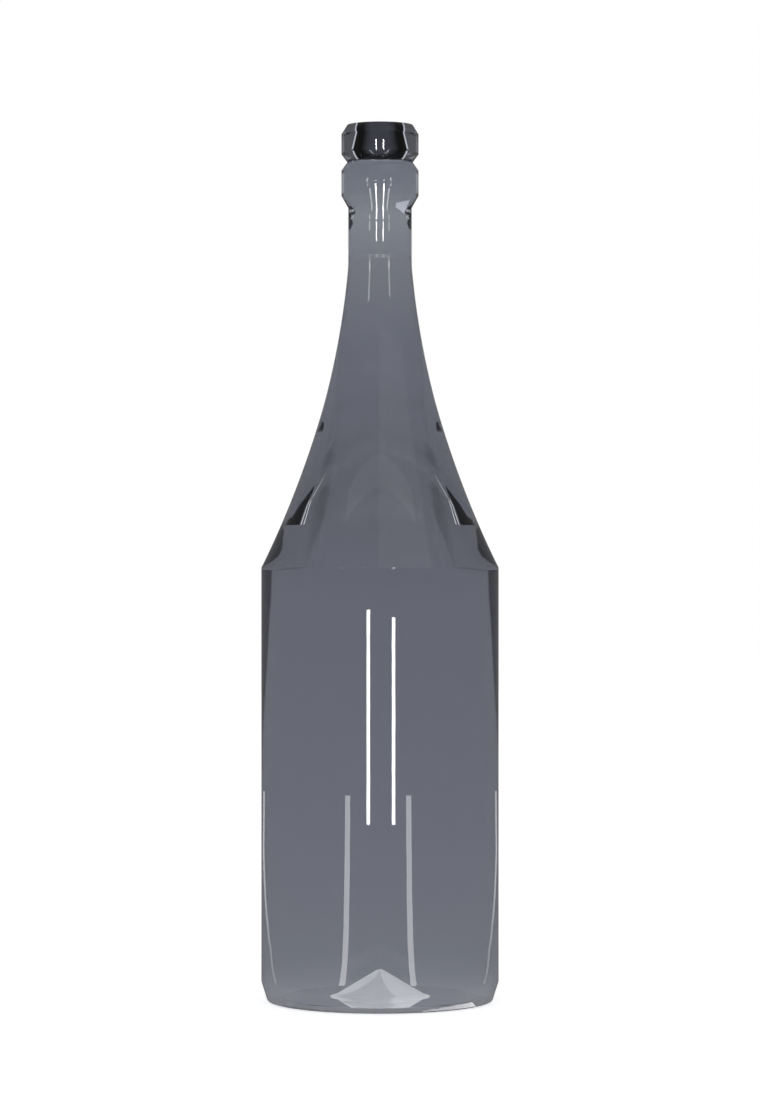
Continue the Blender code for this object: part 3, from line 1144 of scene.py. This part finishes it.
    def _shoulder(self, top_radius: float, bottom_radius: float,
                  bottom_z: float) -> tuple[list[Point], float]:
        """The hollow curve of the shoulder, eased into the neck.

        Args:
            top_radius: The neck's radius.
            bottom_radius: The body's radius.
            bottom_z: The height where the curve meets the body.

        Returns:
            The curve's points from the body up to the neck, without the corner at the body, and the
            curve's angle from the vertical at the body.
        """
        drop = self.neck_base_z - bottom_z
        spread = bottom_radius - top_radius
        lean = self.shoulder_top_angle
        bend = (drop**2 + spread**2) / (2 * (spread * cos(lean) - drop * sin(lean)))
        centre_r = top_radius + bend * cos(lean)
        centre_z = self.neck_base_z + bend * sin(lean)
        bottom_angle = asin((centre_z - bottom_z) / bend)
        ease = self.neck_blend_radius
        rise = ((bend - ease)**2 - (bend * cos(lean) - ease)**2)**0.5
        meeting_angle = asin(rise / (bend - ease))
        points = []
        for step in range(1, CURVE_STEPS + 1):
            angle = bottom_angle + (meeting_angle - bottom_angle) * step / CURVE_STEPS
            height = centre_z - bend * sin(angle)
            share = (height - bottom_z) / (self.shoulder_full_z - bottom_z)
            fuller = self.shoulder_fullness * sin(pi * min(share, 1.0))
            points.append((centre_r - bend * cos(angle) + fuller, height))
        ease_steps = ceil(CURVE_STEPS * meeting_angle / bottom_angle)
        for step in range(1, ease_steps + 1):
            angle = meeting_angle * (1 - step / ease_steps)
            points.append((top_radius + ease * (1 - cos(angle)), centre_z - rise - ease * sin(angle)))
        return points, bottom_angle

    def _punt_dome(self, root_z: float, lift: float) -> tuple[list[Point], float]:
        """The rounded tip of the kick-up.

        Args:
            root_z: The height of the flat that the kick-up's cone rises from.
            lift: How far this face lies above the underside, square to the cone.

        Returns:
            The tip's points from the axis outwards, and the radius of the cone's root.
        """
        slope = atan2(self.punt_height, self.punt_diameter / 2)
        tip = self.punt_tip_radius + lift
        apex_z = self.foot_ring_depth + self.punt_height + lift / cos(slope)
        centre_z = apex_z - tip / cos(slope)
        angles = [slope * step / DOME_STEPS for step in range(DOME_STEPS + 1)]
        points = [(tip * sin(angle), centre_z + tip * cos(angle)) for angle in angles]
        return points, (apex_z - root_z) / tan(slope)

    def build(self, lathe: Lathe) -> bpy.types.Object:
        """Turn the bottle, dress it and put it on its body."""
        # Painted shade and painted highlights on the outside glass
        shades = (BODY_SHADE, LOWER_SHOULDER_SHADE, SHOULDER_WEDGE_SHADES, NECK_TOP_SHADES)
        glints = (SHOULDER_DOUBLE_GLINTS, SHOULDER_GLINT_LINE, NECK_TOP_GLINTS, COLLAR_GLINT)
        kick_up = FrostedGlass("kick_up_glass", tint=(0.98, 0.97, 0.92), roughness=0.45, painted_glow=0.69,
                               radius=self.punt_diameter / 2, root_z=self.foot_ring_depth,
                               height=self.punt_height)
        finishes = {
            Zone.OUTSIDE: SmokedGlass("smoked_glass", BOTTLE_TINTS, self.lip_z, shades, glints, BOTTLE_CLEAR),
            Zone.UNDERSIDE: SmokedGlass("smoked_glass_foot", FOOT_TINTS, self.lip_z, clear=FOOT_CLEAR),
            Zone.KICK_UP: kick_up,
            Zone.INSIDE: QuietGlass("inner_wall_glass", tint=(0.97, 0.975, 0.98)),
        }
        glass = lathe.turn("bottle_glass_wall", self.section(), finishes)
        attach(glass, "bottle")
        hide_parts("bottle")
        return glass


@dataclass(frozen=True)
class Stopper:
    """The stopper: a faceted head over the mouth, its dark core, and the shank in the bore.

    Its section's zero height is the underside of the head.
    """

    bottle: Bottle
    lower_slope_height: float = 0.0028
    band_height: float = 0.0074
    upper_slope_height: float = 0.0034
    top_inset: float = 0.0021
    edge_radius: float = 0.0004
    shank_length: float = 0.0100
    shank_draft: float = 0.0003
    shank_tip_radius: float = 0.0012
    shank_clearance: float = 0.0004
    groove_depth: float = 0.0006
    seat_gap: float = 0.0003
    seal_height: float = 0.0014
    core_top_radius: float = 0.0056
    core_waist_radius: float = 0.0074
    core_foot_radius: float = 0.0119
    core_cover: float = 0.0003
    core_foot_height: float = 0.0024
    core_edge_radius: float = 0.0004
    core_rim_height: float = 0.0039

    @property
    def seat_z(self) -> float:
        """The height of the head's underside."""
        return self.bottle.lip_z + self.seat_gap

    @property
    def shank_radius(self) -> float:
        """The shank's radius under the head."""
        return self.bottle.bore_radius - self.shank_clearance

    @property
    def groove_radius(self) -> float:
        """The radius at the bottom of the seal's groove."""
        return self.shank_radius - self.groove_depth

    @property
    def head_upper_z(self) -> float:
        """The height of the band's upper edge over the head's underside."""
        return self.lower_slope_height + self.band_height

    @property
    def head_top_z(self) -> float:
        """The height of the head's top over its underside."""
        return self.head_upper_z + self.upper_slope_height

    def section(self) -> Section:
        """The section, from the shank's end, up the outside to the middle of the top."""
        outer = self.bottle.collar_radius
        groove = self.seal_height + self.seat_gap * 2
        drawn = Section(zone=Zone.INSIDE)
        drawn.corner(0.0, -self.shank_length)
        drawn.corner(self.shank_radius - self.shank_draft, -self.shank_length, self.shank_tip_radius)
        drawn.corner(self.shank_radius, -groove, self.seat_gap / 2)
        drawn.corner(self.groove_radius, -groove, self.seat_gap / 2)
        drawn.corner(self.groove_radius, 0.0, self.seat_gap / 2)
        drawn.zone = Zone.OUTSIDE
        drawn.soft_corner(self.bottle.lip_radius, 0.0)
        drawn.soft_corner(outer, self.lower_slope_height)
        drawn.corner(outer, self.lower_slope_height + self.edge_radius)
        drawn.corner(outer, self.head_upper_z - self.edge_radius)
        drawn.soft_corner(outer, self.head_upper_z)
        drawn.soft_corner(outer - self.top_inset, self.head_top_z)
        drawn.corner(0.0, self.head_top_z)
        return drawn

    def core_section(self) -> Section:
        """The section of the dark core, which widens towards the head's underside."""
        top = self.head_top_z - self.core_cover
        drawn = Section()
        drawn.corner(0.0, self.core_cover)
        drawn.corner(self.core_foot_radius, self.core_cover, self.core_edge_radius)
        drawn.corner(self.core_waist_radius, self.core_foot_height, self.core_foot_height)
        drawn.corner(self.core_top_radius, top, self.core_edge_radius)
        drawn.corner(0.0, top)
        return drawn

    def build(self, lathe: Lathe) -> list[bpy.types.Object]:
        """Turn the stopper and its core, dress them and put them on their body."""
        finishes = {
            Zone.OUTSIDE: StopperGlass("stopper_head_glass", tint=(0.100, 0.104, 0.121), glint=HEAD_GLINT),
            Zone.INSIDE: ShankGlass("stopper_shank_glass", tint=(0.022, 0.0235, 0.029),
                                    edge_painted_shade=(0.006, 0.0062, 0.008), hidden_tint=(0.96, 0.965, 0.975)),
        }
        glass = lathe.turn("stopper_glass_body", self.section(), finishes, self.seat_z)
        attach(glass, "stopper")
        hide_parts("stopper")
        dark = DarkCore("stopper_core_glass", colour=(0.004, 0.004, 0.006), painted_sheen=(0.52, 0.53, 0.60),
                        roughness=0.03, rim=1.8, rim_low=self.seat_z + self.core_rim_height)
        core = lathe.turn("stopper_dark_core", self.core_section(), {Zone.OUTSIDE: dark}, self.seat_z)
        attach(core, "stopper")
        return [glass, core]


@dataclass(frozen=True)
class SealRing:
    """The soft ring in the groove under the stopper's head."""

    stopper: Stopper
    edge_radius: float = 0.0003

    def section(self) -> Section:
        """The closed section: flat above and below, and sloped outside like the mouth's seat."""
        holder = self.stopper
        gap = holder.seat_gap
        inner = holder.groove_radius + gap
        top_radius = holder.bottle.mouth_radius - gap / sin(pi / 4)
        bottom = -gap - holder.seal_height
        drawn = Section(closed=True)
        drawn.corner(inner, bottom, self.edge_radius)
        drawn.corner(top_radius - holder.seal_height, bottom, self.edge_radius)
        drawn.corner(top_radius, -gap, self.edge_radius)
        drawn.corner(inner, -gap, self.edge_radius)
        return drawn

    def build(self, lathe: Lathe) -> bpy.types.Object:
        """Turn the ring, dress it and put it on its body."""
        finish = SealPolymer("seal_polymer", colour=(0.05, 0.052, 0.06))
        ring = lathe.turn("seal_ring_polymer", self.section(), {Zone.OUTSIDE: finish}, self.stopper.seat_z)
        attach(ring, "seal_ring")
        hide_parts("seal_ring")
        return ring


def show_in_gloss_only(light: bpy.types.Object) -> None:
    """Let a lamp or a bar of light show only in the gloss."""
    for rays in ("camera", "diffuse", "transmission", "volume_scatter"):
        setattr(light, "visible_" + rays, False)


@dataclass(frozen=True)
class StripLight:
    """A slim upright lamp that draws a bright line on the glass.

    Args:
        name: The lamp's name.
        azimuth: Its direction from the camera's line, in radians, seen from the bottle.
        low: The height of its lower end.
        high: The height of its upper end.
        radiance: How bright it looks, where white is 1.
        width: Its width.
        distance: How far from the axis it stands.
        lit: The pieces that it lights, or everything.
    """

    name: str
    azimuth: float
    low: float
    high: float
    radiance: float
    width: float
    distance: float = 0.9
    lit: bpy.types.Collection | None = None

    def build(self) -> None:
        """Make the lamp, turned to the axis."""
        middle = (self.low + self.high) / 2
        place = Vector((sin(self.azimuth) * self.distance, -cos(self.azimuth) * self.distance, middle))
        height = self.high - self.low
        data = bpy.data.lights.new(self.name, "AREA")
        data.shape = "RECTANGLE"
        data.size = self.width
        data.size_y = height
        data.energy = self.radiance * self.width * height * pi
        lamp = in_scene(self.name, data)
        lamp.location = place
        lamp.rotation_euler = (Vector((0, 0, middle)) - place).to_track_quat("-Z", "Y").to_euler()
        show_in_gloss_only(lamp)
        if self.lit:
            lamp.light_linking.receiver_collection = self.lit


@dataclass(frozen=True)
class FloorBar:
    """A flat bar of light on the floor, which draws a soft line on the glass.

    Args:
        name: The bar's name.
        stations: Its course as (x, y, width) in metres.
        radiance: How bright it looks, where white is 1.
    """

    name: str
    stations: tuple[Triple, ...]
    radiance: float

    def build(self) -> None:
        """Make the bar."""
        points = []
        last = len(self.stations) - 1
        for index, (x, y, width) in enumerate(self.stations):
            before = self.stations[max(index - 1, 0)]
            after = self.stations[min(index + 1, last)]
            along = Vector((after[0] - before[0], after[1] - before[1])).normalized()
            aside = Vector((-along.y, along.x)) * width / 2
            points += [(x - aside.x, y - aside.y, 0.0), (x + aside.x, y + aside.y, 0.0)]
        faces = [(2 * i, 2 * i + 2, 2 * i + 3, 2 * i + 1) for i in range(last)]
        mesh = bpy.data.meshes.new(self.name)
        mesh.from_pydata(points, [], faces)
        bar = in_scene(self.name, mesh)
        tree = FinishTree(self.name)
        tree.constants(Base_Color=BLACK, Emission_Color=WHITE, Emission_Strength=self.radiance)
        mesh.materials.append(tree.material)
        show_in_gloss_only(bar)


@dataclass(frozen=True)
class RoomPatch:
    """A part of the room that is brighter or darker than the rest.

    Args:
        azimuth: The direction of its middle, in radians from straight behind the bottle to the right.
        half_width: Half the angle that it fills.
        low: The elevation of its lower edge.
        high: The elevation of its upper edge.
        level: Its brightness over the rest, where white is 1.
        softness: The angle over which its edges fade.
    """

    azimuth: float
    half_width: float
    low: float
    high: float
    level: float
    softness: float

    def light(self, tree: TreeWriter, facing: Placed) -> Wire:
        """The patch's light in each direction."""
        ahead = facing[0] * sin(self.azimuth) + facing[1] * cos(self.azimuth)
        aside = facing[0] * cos(self.azimuth) - facing[1] * sin(self.azimuth)
        turn = abs(tree.math("ARCTAN2", aside, ahead))
        elevation = tree.math("ARCSINE", facing[2])
        mask = tree.fall(turn, self.half_width, self.half_width + self.softness)
        mask = mask * tree.rise(elevation, self.low - self.softness, self.low)
        mask = mask * tree.fall(elevation, self.high, self.high + self.softness)
        return mask * self.level


# The softboxes that show through the glass, which turns left and right round, and those in the gloss:
# azimuth, half width, low, high, level and softness
GLASS_PATCHES = (
    RoomPatch(0.0, pi, radians(50), pi / 2, 2.0, radians(4)),
    RoomPatch(radians(-34), radians(13), radians(22.5), radians(30), 1.3, radians(0.6)),
)
GLOSS_PATCHES = (
    RoomPatch(pi, radians(50), radians(40), radians(43), 0.35, radians(0.5)),
    RoomPatch(radians(180 - 31), radians(31), radians(24), radians(70), 0.25, radians(3)),
)

# The azimuths of the bright and the dim lines on each hand, and the lamps' brightness and distance
LINES = {"left": (radians(-12.7), radians(-37)), "right": (radians(11.4), radians(32))}
HEAD_LINE_SHARE = 0.88
BRIGHT = 25.0
BRIGHTEST = 60.0
DIM = 4.0
NEAR = 0.25

# The bars on the floor as (reach, width) along a direction and as (x, y, width), and the card at the foot
# as (degrees, width)
FRONT_BAR = ((0.13, 0.011), (0.45, 0.040), (1.26, 0.110))
FRONT_TURNS = {"left": radians(30.6), "right": radians(27.1)}
FRONT_LEVEL = 6.0
BACK_BAR = ((0.102, 0.015, 0.005), (0.186, 0.116, 0.015), (0.231, 0.218, 0.026),
            (0.280, 0.399, 0.050), (0.333, 0.642, 0.090), (0.596, 1.094, 0.150))
BACK_LEVEL = 1.0
FOOT_CARD = ((22, 0.0008), (28, 0.0014), (36, 0.0020), (44, 0.0025), (52, 0.0028), (58, 0.0029))


@dataclass(frozen=True)
class Studio:
    """A white studio: floor, world, lamps and the photograph's camera.

    Args:
        bottle: The bottle whose size sets the camera's scale.
        bottle_pieces: What the bottle's own lamps light.
        stopper_pieces: What the stopper's own lamps light.
        floor_radius: Radius of the round floor.
        floor_gap: How far it lies under the foot.
        ambient: Brightness of the room for plain surfaces.
        gloss_level: Brightness of the room in the glass's outer reflections.
        floor_glow: The floor's own light, next to the lamps' light on it.
    """

    bottle: Bottle
    bottle_pieces: bpy.types.Collection
    stopper_pieces: bpy.types.Collection
    floor_radius: float = 3.2
    floor_gap: float = 0.3 * MILLIMETRE
    ambient: float = 0.6
    gloss_level: float = 0.15
    floor_glow: float = 0.6

    FLOOR_SIDES = 96
    MOTTLE = Clouds(3.0)
    FLOOR_PAINTS = ((0.90, 0.90, 0.90), (0.88, 0.88, 0.88))

    def build(self) -> None:
        """Set up the whole studio."""
        self._camera()
        self._floor()
        self._world()
        for light in self._strips() + self._bars():
            light.build()
        bpy.context.scene.view_settings.view_transform = "Standard"

    def _camera(self) -> None:
        """The camera: level, at the photograph's distance and scale."""
        scale = self.bottle.body_radius / PHOTO_BODY_HALF_WIDTH
        data = bpy.data.cameras.new("studio_camera")
        data.sensor_width = SENSOR_WIDTH
        data.lens = SENSOR_WIDTH * PHOTO_DISTANCE / PHOTO_HEIGHT
        camera = in_scene("studio_camera", data)
        aside = (PHOTO_WIDTH / 2 - PHOTO_AXIS_X) * scale
        camera.location = (aside, -PHOTO_DISTANCE * scale, (PHOTO_FOOT_Y - PHOTO_HORIZON_Y) * scale)
        camera.rotation_euler = (pi / 2, 0, 0)
        bpy.context.scene.camera = camera

    def _floor(self) -> None:
        """A round white floor that takes the bottle's shadow."""
        shape = bmesh.new()
        bmesh.ops.create_circle(shape, cap_ends=True, segments=self.FLOOR_SIDES, radius=self.floor_radius)
        mesh = bpy.data.meshes.new("studio_floor")
        shape.to_mesh(mesh)
        shape.free()
        floor = in_scene("studio_floor", mesh)
        floor.location = (0, 0, -self.floor_gap)
        mesh.materials.append(self._floor_paint())

    def _floor_paint(self) -> bpy.types.Material:
        """Matt white paint with a glow, which looks as white as the room when seen through the glass."""
        tree = FinishTree("studio_floor_paint")
        tree.constants(Roughness=1.0, Specular_IOR_Level=0.0, Emission_Strength=1.0)
        tree.varying("Base Color", tree.mix_colours(tree.noise(self.MOTTLE), *self.FLOOR_PAINTS))
        rays = tree.node("ShaderNodeLightPath")
        glow = rays["Is Camera Ray"] * self.floor_glow
        tree.varying("Emission Color", tree.mix_colours(glow, BLACK, WHITE))
        level = tree.mix_colours(rays["Is Transmission Ray"], (self.gloss_level,) * 3, WHITE)
        plain = tree.node("ShaderNodeEmission", {}, {"Color": level, "Strength": 1.0})[0]
        tree.surface(rays["Is Glossy Ray"], plain)
        return tree.material

    def _world(self) -> None:
        """The room: white to the camera and through the glass, dim in the gloss, with softboxes overhead."""
        world = bpy.data.worlds.new("studio_world")
        world.use_nodes = True
        bpy.context.scene.world = world
        tree = TreeWriter(world.node_tree)
        rays = tree.node("ShaderNodeLightPath")
        facing = tree.split(tree.node("ShaderNodeTexCoord")["Generated"])
        through = rays["Is Transmission Ray"]
        gloss = rays["Is Glossy Ray"] * (1 - through)
        seen = rays["Is Camera Ray"]
        rest = tree.math("MAXIMUM", 1 - through - gloss - seen, 0.0)
        glass_level: Any = 1.0
        for patch in GLASS_PATCHES:
            glass_level = patch.light(tree, facing) + glass_level
        gloss_level: Any = self.gloss_level
        for patch in GLOSS_PATCHES:
            gloss_level = patch.light(tree, facing) + gloss_level
        strength = through * glass_level + gloss * gloss_level + seen + rest * self.ambient
        background = world.node_tree.nodes["Background"]
        tree.feed(background.inputs["Color"], WHITE)
        tree.feed(background.inputs["Strength"], strength)

    def _strips(self) -> list[StripLight]:
        """The upright strips: one pair for each run of bright or dim lines on the body, neck and collar."""
        lamps = [
            StripLight("body_strip_left", radians(-10.9), 0.006, 0.1337, BRIGHT, 0.05),
            StripLight("body_strip_right", radians(12.6), 0.006, 0.1291, BRIGHT, 0.05),
        ]
        near = {"distance": NEAR, "lit": self.bottle_pieces}
        far = {"lit": self.bottle_pieces}
        head = {"lit": self.stopper_pieces}
        for hand, (bright, dim) in LINES.items():
            on_head = bright * HEAD_LINE_SHARE
            lamps += [
                StripLight(f"collar_strip_{hand}", bright, 0.185, 0.2900, BRIGHT, 0.017, **near),
                StripLight(f"neck_strip_{hand}", bright, 0.3583, 0.3715, BRIGHT, 0.060, **far),
                StripLight(f"head_strip_{hand}", on_head, 0.3800, 0.4200, BRIGHTEST, 0.040, **head),
                StripLight(f"neck_dim_{hand}", dim, 0.3720, 0.4950, DIM, 0.07, **far),
                StripLight(f"collar_dim_low_{hand}", dim, 0.262, 0.2900, DIM, 0.022, **near),
                StripLight(f"collar_dim_high_{hand}", dim, 0.306, 0.338, DIM, 0.022, **near),
            ]
        return lamps

    def _bars(self) -> list[FloorBar]:
        """The bars on the floor, a pair in front and a curved pair behind, and the pale card at the foot."""
        bars = []
        for side, hand in ((-1, "left"), (1, "right")):
            turn = FRONT_TURNS[hand]
            front = tuple((side * sin(turn) * reach, -cos(turn) * reach, width) for reach, width in FRONT_BAR)
            back = tuple((side * x, y, width) for x, y, width in BACK_BAR)
            bars += [FloorBar(f"front_bar_{hand}", front, FRONT_LEVEL),
                     FloorBar(f"back_bar_{hand}", back, BACK_LEVEL)]
        card = []
        for turn, width in FOOT_CARD:
            reach = self.bottle.foot_radius + self.floor_gap + width / 2
            card.append((sin(radians(turn)) * reach, -cos(radians(turn)) * reach, width))
        bars.append(FloorBar("foot_card_right", tuple(card), FRONT_LEVEL))
        return bars


def lit_group(name: str, pieces: Sequence[bpy.types.Object]) -> bpy.types.Collection:
    """Gather the pieces that some lamps light.

    Args:
        name: The group's name.
        pieces: Its pieces.

    Returns:
        The group, outside the scene's own collections.
    """
    group = bpy.data.collections.new(name)
    for piece in pieces:
        group.objects.link(piece)
    return group


def main() -> None:
    """Build every piece, then the studio."""
    logging.basicConfig(level=logging.INFO, format="%(name)s: %(message)s")
    lathe = Lathe()
    bottle = Bottle()
    stopper = Stopper(bottle)
    bottle_pieces = [bottle.build(lathe)]
    stopper_pieces = stopper.build(lathe)
    seal_ring = SealRing(stopper).build(lathe)
    for piece in (*bottle_pieces, *stopper_pieces, seal_ring):
        LOG.info("%s is in place, with %d faces", piece.name, len(piece.data.polygons))
    Studio(bottle, lit_group("bottle_lamps_light", bottle_pieces),
           lit_group("stopper_lamps_light", stopper_pieces)).build()


if __name__ == "__main__":
    main()
